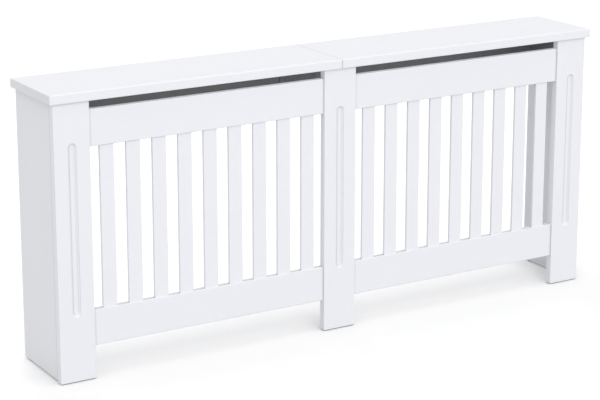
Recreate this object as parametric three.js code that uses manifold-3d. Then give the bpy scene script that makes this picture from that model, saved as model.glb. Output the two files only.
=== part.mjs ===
// Radiator cover cabinet: two slatted bays between three fluted posts, under a shelf in two halves.
//
// It comes apart on a bench as boards and hardware. The posts carry the rails on cam fittings, the
// rails hold the slats in grooves, the side panels stand behind the outer posts, and a back rail in
// two halves closes the channel under the shelf. Nothing on the cabinet moves in use.
//
// Units are millimetres. +X is to the right, the front faces -Y and +Z is up. The origin is on the
// floor, under the middle of the shelf.

import * as THREE from 'three';
import { mergeVertices } from 'three/addons/utils/BufferGeometryUtils.js';
import Module from 'manifold-3d';

const wasm = await Module();
wasm.setup();

// ---------------------------------------------------------------- driving dimensions

const SEAT_GAP = 0.3; // between two pieces that rest on each other

const SHELF_WIDTH = 1720;
const SHELF_DEPTH = 250;
const SHELF_THICKNESS = 25;
const SHELF_ARRIS = 2.5; // rounding of the shelf's edges
const SEAM_CHAMFER = 0.8; // where the shelf's halves meet
const OVERALL_HEIGHT = 770;
const FRONT_OVERHANG = 10; // shelf in front of the posts
const END_OVERHANG = 12; // shelf beyond the side panels

const POST_WIDTH = 100;
const POST_THICKNESS = 22;
const POST_ARRIS = 1.6;
const FOOT_RELIEF_HEIGHT = 2.5; // shadow gap round the foot of a post
const FOOT_RELIEF_DEPTH = 4;
const FLUTE_WIDTH = 24;
const FLUTE_DEPTH = 5;
const FLUTE_COVE = 5; // width of the hollow curve at each side of the flute
const FLUTE_TO_FLOOR = 177;
const FLUTE_TO_SHELF = 106;

const RAIL_THICKNESS = 16;
const RAIL_RECESS = 4; // rail face behind the post face
const RAIL_ARRIS = 2;
const TOP_RAIL_HEIGHT = 97;
const BOTTOM_RAIL_HEIGHT = 98;
const VENT_HEIGHT = 25; // warm air slot between the top rail and the shelf
const FOOT_HEIGHT = 90; // open space under the bottom rail
const GROOVE_DEPTH = 10; // in the rail edge that the slats stand in

const SLATS_PER_BAY = 9;
const SLAT_WIDTH = 38;
const SLAT_THICKNESS = 8;
const SLAT_ARRIS = 1;
const SLAT_END_GAP = 30; // between a post and the nearest slat
const SLAT_CLEARANCE = 0.3; // each side of a slat in its groove, and at its ends

const SIDE_THICKNESS = 15;
const SIDE_ARRIS = 1.2;
const SIDE_INSET = 2; // the side panel's outer face stands inside the post's edge
const SIDE_FOOT = 5; // the side panel stands this far off the floor, on its glide
const BACK_RAIL_THICKNESS = 15;
const BACK_RAIL_HEIGHT = 110;
const STIFFENER_WIDTH = 60;
const STIFFENER_THICKNESS = 18;
const BOARD_ARRIS = 0.8; // rounding of the boards that stay hidden

const CAM_RADIUS = 7.5;
const CAM_SKIN = 3.5; // wood left in front of a cam's bore
const CAM_SETBACK = 34; // cam centre from the end of its rail
const CAM_CLEARANCE = 0.3;
const CAM_SLOT_WIDTH = 1.6;
const CAM_SLOT_LENGTH = 8;
const CAM_SLOT_DEPTH = 2;
const BOLT_RADIUS = 3.2;
const BOLT_NECK_RADIUS = 2;
const BOLT_NECK_LENGTH = 4;
const BOLT_HEAD_LENGTH = 2.5;
const BOLT_THREAD_RADIUS = 2.5;
const BOLT_THREAD_LENGTH = 12;
const BOLT_CLEARANCE = 0.5;

const PLATE_THICKNESS = 3;
const JOINING_PLATE_WIDTH = 70;
const JOINING_PLATE_DEPTH = 110;
const SPLICE_WIDTH = 120;
const SPLICE_HEIGHT = 50;
const PLATE_CORNER = 6;
const SCREW_HOLE_RADIUS = 2.5;
const HOLE_TO_EDGE = 12;

const BRACKET_LEG = 36;
const BRACKET_HEIGHT = 22;
const BRACKET_THICKNESS = 2;
const BRACKET_BEND = 3;
const BRACKET_LOW_Z = 40;
const BRACKET_TO_BACK_RAIL = 4; // the upper brackets stand this far below the back rail

const BLOCK_LEG = 30;
const BLOCK_LENGTH = 26;
const BLOCK_LIP = 8; // thickness of a corner block at the ends of its sloping face
const BLOCK_TO_POST = 18;
const BLOCK_TO_BACK_RAIL = 18;

const GLIDE_RADIUS = 7;
const GLIDE_CHAMFER = 1.2;
const GLIDE_PIN_RADIUS = 1.5;
const GLIDE_PIN_LENGTH = 12;
const GLIDE_PIN_CLEARANCE = 0.3;
const GLIDE_TO_BACK = 25;

// ---------------------------------------------------------------- places worked out from them

const FRONT = -SHELF_DEPTH / 2;
const BACK = SHELF_DEPTH / 2;
const SHELF_UNDERSIDE = OVERALL_HEIGHT - SHELF_THICKNESS;
const HALF_BODY = SHELF_WIDTH / 2 - END_OVERHANG;

const POST_FRONT = FRONT + FRONT_OVERHANG;
const POST_BACK = POST_FRONT + POST_THICKNESS;
const POST_TOP = SHELF_UNDERSIDE - SEAT_GAP;
const POST_CENTRES = { left: POST_WIDTH / 2 - HALF_BODY, centre: 0, right: HALF_BODY - POST_WIDTH / 2 };

const RAIL_FRONT = POST_FRONT + RAIL_RECESS;
const RAIL_BACK = RAIL_FRONT + RAIL_THICKNESS;
const RAIL_MIDDLE = (RAIL_FRONT + RAIL_BACK) / 2;
const TOP_RAIL_TOP = SHELF_UNDERSIDE - VENT_HEIGHT;
const TOP_RAIL_FOOT = TOP_RAIL_TOP - TOP_RAIL_HEIGHT;
const BOTTOM_RAIL_TOP = FOOT_HEIGHT + BOTTOM_RAIL_HEIGHT;
const GROOVE_WIDTH = SLAT_THICKNESS + 2 * SLAT_CLEARANCE;

const BAY_START = POST_WIDTH / 2 + SEAT_GAP;
const BAY_END = HALF_BODY - POST_WIDTH - SEAT_GAP;
const BAYS = { left: -1, right: 1 };

const SLAT_FOOT = BOTTOM_RAIL_TOP - GROOVE_DEPTH + SLAT_CLEARANCE;
const SLAT_TOP = TOP_RAIL_FOOT + GROOVE_DEPTH - SLAT_CLEARANCE;
const SLAT_PITCH = (BAY_END - BAY_START - 2 * SLAT_END_GAP - SLAT_WIDTH) / (SLATS_PER_BAY - 1);

const STIFFENER_FRONT = POST_BACK + SEAT_GAP;
const STIFFENER_BACK = STIFFENER_FRONT + STIFFENER_THICKNESS;
const SIDE_FRONT = POST_BACK + SEAT_GAP;
const SIDE_OUTER = HALF_BODY - SIDE_INSET;
const SIDE_INNER = SIDE_OUTER - SIDE_THICKNESS;
const BACK_RAIL_FRONT = BACK - BACK_RAIL_THICKNESS;
const BACK_RAIL_FOOT = POST_TOP - BACK_RAIL_HEIGHT;

// ---------------------------------------------------------------- materials

const paint = new THREE.MeshStandardMaterial({ color: 0xeff0f4, roughness: 0.38, metalness: 0 });
const zinc = new THREE.MeshStandardMaterial({ color: 0xb9bcc0, roughness: 0.35, metalness: 1 });
const castZinc = new THREE.MeshStandardMaterial({ color: 0x9a9da1, roughness: 0.5, metalness: 1 });
const whitePlastic = new THREE.MeshStandardMaterial({ color: 0xe9eaec, roughness: 0.45, metalness: 0 });
const glidePlastic = new THREE.MeshStandardMaterial({ color: 0xd8d9db, roughness: 0.6, metalness: 0 });

// ---------------------------------------------------------------- shaping tools

// Turns a flat outline's own axes: its x runs along Y, its y along Z, and its thickness along X.
const ALONG_X = new THREE.Matrix4().makeBasis(
  new THREE.Vector3(0, 1, 0), new THREE.Vector3(0, 0, 1), new THREE.Vector3(1, 0, 0));

// Its x runs along Z, its y along X, and its thickness along Y.
const ALONG_Y = new THREE.Matrix4().makeBasis(
  new THREE.Vector3(0, 0, 1), new THREE.Vector3(1, 0, 0), new THREE.Vector3(0, 1, 0));

const ALONG_Z = new THREE.Matrix4();

/** Leaves a geometry with shared vertices and nothing but their positions. */
function positionsOnly(geometry) {
  const bare = geometry.clone();
  bare.deleteAttribute('normal');
  bare.deleteAttribute('uv');
  return mergeVertices(bare, 1e-4);
}

function toSolid(geometry) {
  const bare = positionsOnly(geometry);
  return new wasm.Manifold(new wasm.Mesh({
    numProp: 3,
    vertProperties: new Float32Array(bare.attributes.position.array),
    triVerts: new Uint32Array(bare.index.array),
  }));
}

function toGeometry(solid) {
  const mesh = solid.getMesh();
  const geometry = new THREE.BufferGeometry();
  geometry.setAttribute('position', new THREE.BufferAttribute(mesh.vertProperties, mesh.numProp));
  geometry.setIndex(new THREE.BufferAttribute(mesh.triVerts, 1));
  geometry.computeVertexNormals();
  return geometry;
}

/** Cuts every cutter out of one blank. */
function cut(blank, cutters) {
  let solid = toSolid(blank);
  for (const cutter of cutters) {
    solid = solid.subtract(toSolid(cutter));
  }
  return toGeometry(solid);
}

/** Keeps only what one blank shares with another. */
function trim(blank, keeper) {
  return toGeometry(toSolid(blank).intersect(toSolid(keeper)));
}

/** A rectangle centred on (x, y) with round corners of the given radius. */
function roundedRectangle(x, y, width, height, radius) {
  const shape = new THREE.Shape();
  const right = x + width / 2;
  const left = x - width / 2;
  const top = y + height / 2;
  const foot = y - height / 2;
  shape.moveTo(left + radius, foot);
  shape.lineTo(right - radius, foot);
  shape.absarc(right - radius, foot + radius, radius, -Math.PI / 2, 0);
  shape.lineTo(right, top - radius);
  shape.absarc(right - radius, top - radius, radius, 0, Math.PI / 2);
  shape.lineTo(left + radius, top);
  shape.absarc(left + radius, top - radius, radius, Math.PI / 2, Math.PI);
  shape.lineTo(left, foot + radius);
  shape.absarc(left + radius, foot + radius, radius, Math.PI, 1.5 * Math.PI);
  return shape;
}

/** An upright outline with half-round ends, `radius` to each side of x. */
function stadium(x, foot, top, radius) {
  const shape = new THREE.Shape();
  shape.moveTo(x + radius, foot + radius);
  shape.lineTo(x + radius, top - radius);
  shape.absarc(x, top - radius, radius, 0, Math.PI);
  shape.lineTo(x - radius, foot + radius);
  shape.absarc(x, foot + radius, radius, Math.PI, 2 * Math.PI);
  return shape;
}

/** An outline drawn out from `start` to `end` along the axis that `turn` names. */
function drawn(shape, start, end, turn, curveSegments = 2) {
  const options = { depth: end - start, bevelEnabled: false, curveSegments };
  const geometry = new THREE.ExtrudeGeometry(shape, options);
  geometry.translate(0, 0, start);
  return geometry.applyMatrix4(turn);
}

/** A board between two corners whose arrises are all rounded, drawn out along Z. */
function board(low, high, arris, steps = 2) {
  const [width, depth, height] = high.map((value, axis) => value - low[axis]);
  const outline = roundedRectangle(
    (low[0] + high[0]) / 2, (low[1] + high[1]) / 2, width - 2 * arris, depth - 2 * arris, arris / 2);
  const geometry = new THREE.ExtrudeGeometry(outline, {
    depth: height - 2 * arris,
    bevelEnabled: true,
    bevelSize: arris,
    bevelThickness: arris,
    bevelSegments: steps,
    curveSegments: 1,
  });
  return geometry.translate(0, 0, low[2] + arris);
}

/** A round bar of the given radius between two points on one axis. */
function bar(radius, from, to, sides = 16) {
  const start = new THREE.Vector3(...from);
  const run = new THREE.Vector3(...to).sub(start);
  const geometry = new THREE.CylinderGeometry(radius, radius, run.length(), sides);
  geometry.translate(0, run.length() / 2, 0);
  geometry.applyQuaternion(new THREE.Quaternion().setFromUnitVectors(
    new THREE.Vector3(0, 1, 0), run.clone().normalize()));
  return geometry.translate(start.x, start.y, start.z);
}

const cabinet = new THREE.Group();
cabinet.name = 'radiator_cover_cabinet';

function add(name, geometry, material) {
  const mesh = new THREE.Mesh(geometry, material);
  mesh.name = name;
  cabinet.add(mesh);
}

// ---------------------------------------------------------------- shelf

/** A block larger than a shelf half all round, but for its end at the seam, which is chamfered. */
function seamKeeper(side) {
  const margin = 1;
  const slope = SEAM_CHAMFER + margin;
  const outline = new THREE.Shape();
  outline.moveTo(FRONT - margin, SHELF_UNDERSIDE - margin);
  outline.lineTo(BACK + margin, SHELF_UNDERSIDE - margin);
  outline.lineTo(BACK + margin, OVERALL_HEIGHT + margin);
  outline.lineTo(FRONT - margin, OVERALL_HEIGHT + margin);
  const geometry = new THREE.ExtrudeGeometry(outline, {
    depth: SHELF_WIDTH / 2,
    bevelEnabled: true,
    bevelSize: slope,
    bevelThickness: slope,
    bevelOffset: -slope,
    bevelSegments: 1,
  });
  geometry.applyMatrix4(ALONG_X);
  const reach = side > 0 ? slope : -slope - SHELF_WIDTH / 2;
  return geometry.translate(reach + side * SEAT_GAP / 2, 0, 0);
}

/** One half of the shelf; the two halves meet on the centre post. */
function shelfHalf(side) {
  const pastSeam = -side * 2 * SHELF_ARRIS;
  const outer = side * SHELF_WIDTH / 2;
  const blank = board(
    [Math.min(pastSeam, outer), FRONT, SHELF_UNDERSIDE],
    [Math.max(pastSeam, outer), BACK, OVERALL_HEIGHT],
    SHELF_ARRIS, 3);
  return trim(blank, seamKeeper(side));
}

for (const [name, side] of Object.entries(BAYS)) {
  add(`top_panel_${name}`, shelfHalf(side), paint);
}

// ---------------------------------------------------------------- posts

/** The routed flute: a flat floor, hollow curved sides and round ends, cut from the front. */
function fluteCutter(centreX) {
  const foot = FLUTE_TO_FLOOR + FLUTE_COVE;
  const top = SHELF_UNDERSIDE - FLUTE_TO_SHELF - FLUTE_COVE;
  const outline = stadium(centreX, foot, top, FLUTE_WIDTH / 2 - FLUTE_COVE);
  const geometry = new THREE.ExtrudeGeometry(outline, {
    depth: FLUTE_DEPTH,
    bevelEnabled: true,
    bevelSize: FLUTE_COVE,
    bevelThickness: FLUTE_DEPTH,
    bevelSegments: 5,
    curveSegments: 4,
  });
  // The outline's y becomes Z, and its first face looks into the post.
  geometry.rotateX(Math.PI / 2);
  return geometry.translate(0, POST_FRONT, 0);
}

/** The ring that is cut away round a post's foot, so that its painted edges clear the floor. */
function footRelief(centreX) {
  const middle = (POST_FRONT + POST_BACK) / 2;
  const ring = roundedRectangle(centreX, middle, POST_WIDTH + 2, POST_THICKNESS + 2, 1);
  const pad = roundedRectangle(
    centreX, middle, POST_WIDTH - 2 * FOOT_RELIEF_DEPTH, POST_THICKNESS - 2 * FOOT_RELIEF_DEPTH, 1);
  ring.holes.push(pad);
  return drawn(ring, -1, FOOT_RELIEF_HEIGHT, ALONG_Z, 1);
}

/** The holes in a post's edge that take the cam bolts of the rails on that side. */
function boltPilots(centreX, side) {
  const edge = centreX + side * POST_WIDTH / 2;
  const depth = BOLT_THREAD_LENGTH + BOLT_CLEARANCE;
  return railHeights().map(({ middle }) => bar(
    BOLT_THREAD_RADIUS + CAM_CLEARANCE,
    [edge - side * depth, RAIL_MIDDLE, middle],
    [edge + side, RAIL_MIDDLE, middle], 12));
}

function post(centreX, fastenedSides) {
  const blank = board(
    [centreX - POST_WIDTH / 2, POST_FRONT, 0],
    [centreX + POST_WIDTH / 2, POST_BACK, POST_TOP],
    POST_ARRIS, 3);
  const pilots = fastenedSides.flatMap((side) => boltPilots(centreX, side));
  return cut(blank, [fluteCutter(centreX), footRelief(centreX), ...pilots]);
}

/** The two heights at which rails run, with the edge that the slats stand in. */
function railHeights() {
  return [
    { name: 'top', foot: TOP_RAIL_FOOT, top: TOP_RAIL_TOP, grooveUp: false,
      middle: (TOP_RAIL_FOOT + TOP_RAIL_TOP) / 2 },
    { name: 'bottom', foot: FOOT_HEIGHT, top: BOTTOM_RAIL_TOP, grooveUp: true,
      middle: (FOOT_HEIGHT + BOTTOM_RAIL_TOP) / 2 },
  ];
}

add('post_left', post(POST_CENTRES.left, [1]), paint);
add('post_centre', post(POST_CENTRES.centre, [-1, 1]), paint);
add('post_right', post(POST_CENTRES.right, [-1]), paint);

add('centre_post_stiffener', board(
  [-STIFFENER_WIDTH / 2, STIFFENER_FRONT, 0],
  [STIFFENER_WIDTH / 2, STIFFENER_BACK, POST_TOP],
  BOARD_ARRIS, 1), paint);

// ---------------------------------------------------------------- rails

/** A rail's section: round front arrises and the slat groove in one edge. */
function railSection({ foot, top, grooveUp }) {
  const grooveFront = RAIL_MIDDLE - GROOVE_WIDTH / 2;
  const grooveBack = RAIL_MIDDLE + GROOVE_WIDTH / 2;
  const shape = new THREE.Shape();
  shape.moveTo(RAIL_BACK, foot);
  shape.lineTo(RAIL_BACK, top);
  if (grooveUp) {
    shape.lineTo(grooveBack, top);
    shape.lineTo(grooveBack, top - GROOVE_DEPTH);
    shape.lineTo(grooveFront, top - GROOVE_DEPTH);
    shape.lineTo(grooveFront, top);
  }
  shape.lineTo(RAIL_FRONT + RAIL_ARRIS, top);
  shape.absarc(RAIL_FRONT + RAIL_ARRIS, top - RAIL_ARRIS, RAIL_ARRIS, Math.PI / 2, Math.PI);
  shape.lineTo(RAIL_FRONT, foot + RAIL_ARRIS);
  shape.absarc(RAIL_FRONT + RAIL_ARRIS, foot + RAIL_ARRIS, RAIL_ARRIS, Math.PI, 1.5 * Math.PI);
  if (!grooveUp) {
    shape.lineTo(grooveFront, foot);
    shape.lineTo(grooveFront, foot + GROOVE_DEPTH);
    shape.lineTo(grooveBack, foot + GROOVE_DEPTH);
    shape.lineTo(grooveBack, foot);
  }
  return shape;
}

/** The blind bore for a cam, and the long bore that its bolt comes in through. */
function camBores(end, inward, middle) {
  const camX = end + inward * CAM_SETBACK;
  const floor = RAIL_FRONT + CAM_SKIN;
  return [
    bar(CAM_RADIUS + CAM_CLEARANCE, [camX, floor, middle], [camX, RAIL_BACK + 1, middle], 20),
    bar(BOLT_RADIUS + BOLT_CLEARANCE, [end - inward, RAIL_MIDDLE, middle], [camX, RAIL_MIDDLE, middle], 12),
  ];
}

/** A cam nut: a drum with a cross slot in its back and a pocket that takes the bolt's head. */
function camNut(end, inward, middle) {
  const camX = end + inward * CAM_SETBACK;
  const front = RAIL_FRONT + CAM_SKIN + CAM_CLEARANCE;
  const drum = bar(CAM_RADIUS, [camX, front, middle], [camX, RAIL_BACK, middle], 20);
  const pocketRadius = BOLT_RADIUS + BOLT_CLEARANCE;
  const pocket = bar(
    pocketRadius, [camX - inward * (CAM_RADIUS + 1), RAIL_MIDDLE, middle],
    [camX + inward * (BOLT_HEAD_LENGTH + BOLT_CLEARANCE), RAIL_MIDDLE, middle], 10);
  const level = new THREE.BoxGeometry(CAM_SLOT_LENGTH, 2 * CAM_SLOT_DEPTH, CAM_SLOT_WIDTH);
  const upright = new THREE.BoxGeometry(CAM_SLOT_WIDTH, 2 * CAM_SLOT_DEPTH, CAM_SLOT_LENGTH);
  level.translate(camX, RAIL_BACK, middle);
  upright.translate(camX, RAIL_BACK, middle);
  return cut(drum, [pocket, level, upright]);
}

/** A cam bolt: thread in the post, plain shank through the rail, neck and head in the cam. */
function camBolt(end, inward, middle) {
  const head = CAM_SETBACK + BOLT_HEAD_LENGTH / 2;
  const neck = head - BOLT_HEAD_LENGTH - BOLT_NECK_LENGTH;
  const profile = [
    [0, -SEAT_GAP - BOLT_THREAD_LENGTH],
    [BOLT_THREAD_RADIUS * 0.6, -SEAT_GAP - BOLT_THREAD_LENGTH],
    [BOLT_THREAD_RADIUS, BOLT_THREAD_RADIUS - SEAT_GAP - BOLT_THREAD_LENGTH],
    [BOLT_THREAD_RADIUS, SEAT_GAP],
    [BOLT_RADIUS, SEAT_GAP],
    [BOLT_RADIUS, neck],
    [BOLT_NECK_RADIUS, neck],
    [BOLT_NECK_RADIUS, head - BOLT_HEAD_LENGTH],
    [BOLT_RADIUS, head - BOLT_HEAD_LENGTH],
    [BOLT_RADIUS, head],
    [0, head],
  ].map(([radius, along]) => new THREE.Vector2(radius, along));
  const geometry = new THREE.LatheGeometry(profile, 10);
  geometry.rotateZ(-inward * Math.PI / 2);
  return geometry.translate(end, RAIL_MIDDLE, middle);
}

for (const [bay, side] of Object.entries(BAYS)) {
  for (const height of railHeights()) {
    const ends = [
      { name: 'inner', at: side * BAY_START, inward: side },
      { name: 'outer', at: side * BAY_END, inward: -side },
    ];
    const start = Math.min(ends[0].at, ends[1].at);
    const finish = Math.max(ends[0].at, ends[1].at);
    const blank = drawn(railSection(height), start, finish, ALONG_X);
    const bores = ends.flatMap((end) => camBores(end.at, end.inward, height.middle));
    add(`${height.name}_rail_${bay}`, cut(blank, bores), paint);
    for (const end of ends) {
      const place = `${height.name}_${bay}_${end.name}`;
      add(`cam_nut_${place}`, camNut(end.at, end.inward, height.middle), castZinc);
      add(`cam_bolt_${place}`, camBolt(end.at, end.inward, height.middle), zinc);
    }
  }
}

// ---------------------------------------------------------------- slats

/** One slat, standing in the grooves of the two rails of its bay. */
function slat(centreX) {
  const outline = roundedRectangle(centreX, RAIL_MIDDLE, SLAT_WIDTH, SLAT_THICKNESS, SLAT_ARRIS);
  return drawn(outline, SLAT_FOOT, SLAT_TOP, ALONG_Z, 1);
}

for (const [bay, side] of Object.entries(BAYS)) {
  for (let index = 0; index < SLATS_PER_BAY; index += 1) {
    const fromStart = BAY_START + SLAT_END_GAP + SLAT_WIDTH / 2 + index * SLAT_PITCH;
    // Slats are counted from left to right in both bays.
    const number = side > 0 ? index + 1 : SLATS_PER_BAY - index;
    add(`slat_${bay}_${number}`, slat(side * fromStart), paint);
  }
}

// ---------------------------------------------------------------- side panels and glides

/** The height at which a glide stops short of its side panel. */
const GLIDE_TOP = SIDE_FOOT - SEAT_GAP;

function glideX(side) {
  return side * (SIDE_OUTER - SIDE_THICKNESS / 2);
}

function sidePanel(side) {
  const outer = side * SIDE_OUTER;
  const inner = side * SIDE_INNER;
  const blank = board(
    [Math.min(inner, outer), SIDE_FRONT, SIDE_FOOT],
    [Math.max(inner, outer), BACK, POST_TOP],
    SIDE_ARRIS, 2);
  const pinHole = bar(
    GLIDE_PIN_RADIUS + GLIDE_PIN_CLEARANCE,
    [glideX(side), BACK - GLIDE_TO_BACK, SIDE_FOOT - 1],
    [glideX(side), BACK - GLIDE_TO_BACK, SIDE_FOOT + GLIDE_PIN_LENGTH + GLIDE_PIN_CLEARANCE], 10);
  return cut(blank, [pinHole]);
}

/** A nail-on glide: a chamfered foot with a pin in the panel's bottom edge. */
function glide(side) {
  const pinTop = SIDE_FOOT + GLIDE_PIN_LENGTH;
  const profile = [
    [0, 0],
    [GLIDE_RADIUS - GLIDE_CHAMFER, 0],
    [GLIDE_RADIUS, GLIDE_CHAMFER],
    [GLIDE_RADIUS, GLIDE_TOP],
    [GLIDE_PIN_RADIUS, GLIDE_TOP],
    [GLIDE_PIN_RADIUS, pinTop - GLIDE_PIN_RADIUS],
    [0, pinTop],
  ].map(([radius, along]) => new THREE.Vector2(radius, along));
  const geometry = new THREE.LatheGeometry(profile, 16);
  geometry.rotateX(Math.PI / 2);
  return geometry.translate(glideX(side), BACK - GLIDE_TO_BACK, 0);
}

for (const [name, side] of Object.entries(BAYS)) {
  add(`side_panel_${name}`, sidePanel(side), paint);
  add(`glide_${name}`, glide(side), glidePlastic);
}

// ---------------------------------------------------------------- back rail and plates

for (const [name, side] of Object.entries(BAYS)) {
  const inner = side * SEAT_GAP / 2;
  const outer = side * (SIDE_INNER - SEAT_GAP);
  add(`back_rail_${name}`, board(
    [Math.min(inner, outer), BACK_RAIL_FRONT, BACK_RAIL_FOOT],
    [Math.max(inner, outer), BACK, POST_TOP],
    BOARD_ARRIS, 1), paint);
}

/** A steel plate with round corners and four screw holes, drawn flat about its own middle. */
function plateOutline(width, height) {
  const outline = roundedRectangle(0, 0, width, height, PLATE_CORNER);
  for (const x of [-1, 1]) {
    for (const y of [-1, 1]) {
      const holeX = x * (width / 2 - HOLE_TO_EDGE);
      const holeY = y * (height / 2 - HOLE_TO_EDGE);
      const hole = new THREE.Path();
      hole.absarc(holeX, holeY, SCREW_HOLE_RADIUS, 0, 2 * Math.PI, true);
      outline.holes.push(hole);
    }
  }
  return outline;
}

const joiningPlate = drawn(
  plateOutline(JOINING_PLATE_WIDTH, JOINING_PLATE_DEPTH), -PLATE_THICKNESS, 0, ALONG_Z, 3);
joiningPlate.translate(0, (STIFFENER_BACK + BACK_RAIL_FRONT) / 2, POST_TOP);
add('shelf_joining_plate', joiningPlate, zinc);

const splice = drawn(plateOutline(SPLICE_HEIGHT, SPLICE_WIDTH), -PLATE_THICKNESS, 0, ALONG_Y, 3);
splice.translate(0, BACK_RAIL_FRONT - SEAT_GAP, (BACK_RAIL_FOOT + POST_TOP) / 2);
add('back_rail_splice', splice, zinc);

// ---------------------------------------------------------------- wall brackets

/** An angle bracket: one leg on the side panel's inner face, the other flush with its rear edge. */
function wallBracket(side, footZ) {
  const shape = new THREE.Shape();
  const inner = BRACKET_THICKNESS;
  shape.moveTo(BRACKET_BEND, 0);
  shape.lineTo(BRACKET_LEG, 0);
  shape.lineTo(BRACKET_LEG, inner);
  shape.lineTo(BRACKET_BEND, inner);
  shape.absarc(BRACKET_BEND, BRACKET_BEND, BRACKET_BEND - inner, 1.5 * Math.PI, Math.PI, true);
  shape.lineTo(inner, BRACKET_LEG);
  shape.lineTo(0, BRACKET_LEG);
  shape.lineTo(0, BRACKET_BEND);
  shape.absarc(BRACKET_BEND, BRACKET_BEND, BRACKET_BEND, Math.PI, 1.5 * Math.PI);
  const blank = drawn(shape, 0, BRACKET_HEIGHT, ALONG_Z);
  const holeAt = BRACKET_BEND + (BRACKET_LEG - BRACKET_BEND) / 2;
  const middle = BRACKET_HEIGHT / 2;
  const angle = cut(blank, [
    bar(SCREW_HOLE_RADIUS, [holeAt, -1, middle], [holeAt, inner + 1, middle], 10),
    bar(SCREW_HOLE_RADIUS, [-1, holeAt, middle], [inner + 1, holeAt, middle], 10),
  ]);
  // The outline's corner goes to the rear corner of the side panel: left as it is turned a quarter
  // turn clockwise, right turned half round.
  angle.rotateZ(side < 0 ? -Math.PI / 2 : Math.PI);
  return angle.translate(side * (SIDE_INNER - SEAT_GAP), BACK, footZ);
}

for (const [name, side] of Object.entries(BAYS)) {
  add(`wall_bracket_low_${name}`, wallBracket(side, BRACKET_LOW_Z), zinc);
  add(`wall_bracket_high_${name}`,
    wallBracket(side, BACK_RAIL_FOOT - BRACKET_TO_BACK_RAIL - BRACKET_HEIGHT), zinc);
}

// ---------------------------------------------------------------- shelf corner blocks

/** A moulded block in the corner under the shelf, with a screw hole into each board. */
function cornerBlock(side, startY) {
  const shape = new THREE.Shape();
  shape.moveTo(0, 0);
  shape.lineTo(0, -BLOCK_LEG);
  shape.lineTo(BLOCK_LIP, -BLOCK_LEG);
  shape.lineTo(BLOCK_LEG, -BLOCK_LIP);
  shape.lineTo(BLOCK_LEG, 0);
  const geometry = new THREE.ExtrudeGeometry(shape, { depth: BLOCK_LENGTH, bevelEnabled: false });
  // Outline x becomes X, outline y becomes Z, and the thickness runs to the back.
  geometry.rotateX(Math.PI / 2);
  geometry.translate(0, BLOCK_LENGTH, 0);
  const third = BLOCK_LENGTH / 3;
  const holeAt = BLOCK_LEG * 0.6;
  const drilled = cut(geometry, [
    bar(SCREW_HOLE_RADIUS, [-1, third, -holeAt], [BLOCK_LEG + 1, third, -holeAt], 10),
    bar(SCREW_HOLE_RADIUS, [holeAt, 2 * third, 1], [holeAt, 2 * third, -BLOCK_LEG - 1], 10),
  ]);
  const corner = side * (SIDE_INNER - SEAT_GAP);
  if (side < 0) {
    return drilled.translate(corner, startY, POST_TOP);
  }
  drilled.rotateZ(Math.PI);
  return drilled.translate(corner, startY + BLOCK_LENGTH, POST_TOP);
}

for (const [name, side] of Object.entries(BAYS)) {
  add(`shelf_block_front_${name}`, cornerBlock(side, POST_BACK + BLOCK_TO_POST), whitePlastic);
  add(`shelf_block_back_${name}`,
    cornerBlock(side, BACK_RAIL_FRONT - BLOCK_TO_BACK_RAIL - BLOCK_LENGTH), whitePlastic);
}

export default cabinet;
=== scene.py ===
"""Radiator cover cabinet: the finished boards, slats, hardware and paint, built round its frame.

Every board is remade as a smooth mesh with rounded arrises in the place of its construction solid.
The slats and the screws come from Geometry Nodes. The steel and plastic fittings keep their solids
and get their finishes here. Lengths are in metres, in the frame's own axes: +X right, +Y to the
wall, +Z up.
"""

from __future__ import annotations

import logging
import math
from dataclasses import dataclass
from enum import Enum
from itertools import product

import bmesh
import bpy
from mathutils import Matrix, Vector

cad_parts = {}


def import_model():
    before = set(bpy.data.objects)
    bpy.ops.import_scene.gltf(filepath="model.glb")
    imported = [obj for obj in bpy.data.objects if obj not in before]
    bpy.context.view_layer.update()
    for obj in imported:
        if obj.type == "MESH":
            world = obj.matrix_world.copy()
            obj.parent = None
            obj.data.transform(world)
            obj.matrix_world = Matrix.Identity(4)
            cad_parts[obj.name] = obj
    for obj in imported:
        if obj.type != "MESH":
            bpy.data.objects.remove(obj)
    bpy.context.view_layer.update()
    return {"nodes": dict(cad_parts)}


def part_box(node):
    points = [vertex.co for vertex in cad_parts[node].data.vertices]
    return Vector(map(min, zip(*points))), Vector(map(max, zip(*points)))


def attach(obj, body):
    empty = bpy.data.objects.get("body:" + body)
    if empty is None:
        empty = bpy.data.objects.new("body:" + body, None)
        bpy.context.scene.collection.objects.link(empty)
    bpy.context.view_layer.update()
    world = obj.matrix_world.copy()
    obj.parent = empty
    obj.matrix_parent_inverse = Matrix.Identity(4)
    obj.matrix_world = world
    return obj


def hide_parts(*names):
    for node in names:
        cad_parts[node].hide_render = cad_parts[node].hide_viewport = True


LOG = logging.getLogger("radiator_cover")

BODY = "root"
INWARD = {"left": 1.0, "right": -1.0}

ARRIS_HIGHLIGHT_ATTRIBUTE = "arris"
PAINTED_SHADE_ATTRIBUTE = "inside_corner"
PAINTED_DARK_ATTRIBUTE = "painted_dark"
FACING_ATTRIBUTE = "facing"

GEOMETRY_TREE = "GeometryNodeTree"
INPUT_KINDS = {tuple: "Color", float: "Float"}
OUTPUT_KINDS = {"Colour": "Color", "Geometry": "Geometry"}
PALE = (0.8, 0.8, 0.8, 1.0)
NOISE_ROUGHNESS = 0.55
NOISE_MIDDLE = (0.3, 0.7)
GRAIN_SHEEN = 0.08

SHARP_ANGLE = math.radians(40.0)
CUT_MARGIN = 0.002
FILM_MARGIN = 0.001
TOUCHING = 1e-6
LOOKS_THERE = 0.5

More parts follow.
